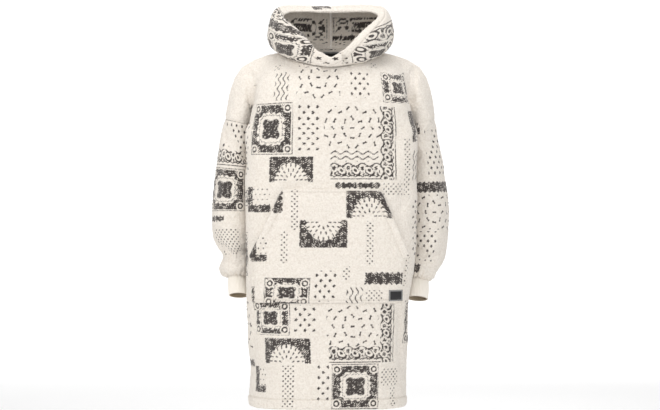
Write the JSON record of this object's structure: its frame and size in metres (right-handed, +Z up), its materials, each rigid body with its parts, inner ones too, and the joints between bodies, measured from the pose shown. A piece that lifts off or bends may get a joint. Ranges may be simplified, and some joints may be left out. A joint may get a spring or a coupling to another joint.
{
  "type": "wearable blanket hoodie",
  "caption": "Oversized knee-length fleece hoodie with a patchwork bandana print, roomy hood, dropped sleeves, ribbed cuffs and a kangaroo pocket, in its worn shape.",
  "frame": {"origin": "where the wearer's neck and shoulders carry the garment: the middle of the neck opening at the height of the front neck seam", "axes": "+Z up, the front faces -Y, +X towards the wearer's left"},
  "size_m": [0.6785, 0.3513, 1.1221],
  "materials": {
    "printed_fleece": "matt plush fleece, cream with a charcoal bandana patchwork print",
    "cream_rib": "matt ribbed knit, cream",
    "black_label": "satin woven tape, black"
  },
  "bodies": {
    "root": {"body_front": "printed_fleece", "body_back": "printed_fleece", "sleeve_right": "printed_fleece", "sleeve_left": "printed_fleece", "cuff_right": "cream_rib", "cuff_left": "cream_rib", "pocket": "printed_fleece", "pocket_label": "black_label", "hood_right": "printed_fleece", "hood_left": "printed_fleece", "hood_lining_right": "printed_fleece", "hood_lining_left": "printed_fleece", "neck_label": "black_label", "size_tab": "black_label"}
  },
  "joints": []
}
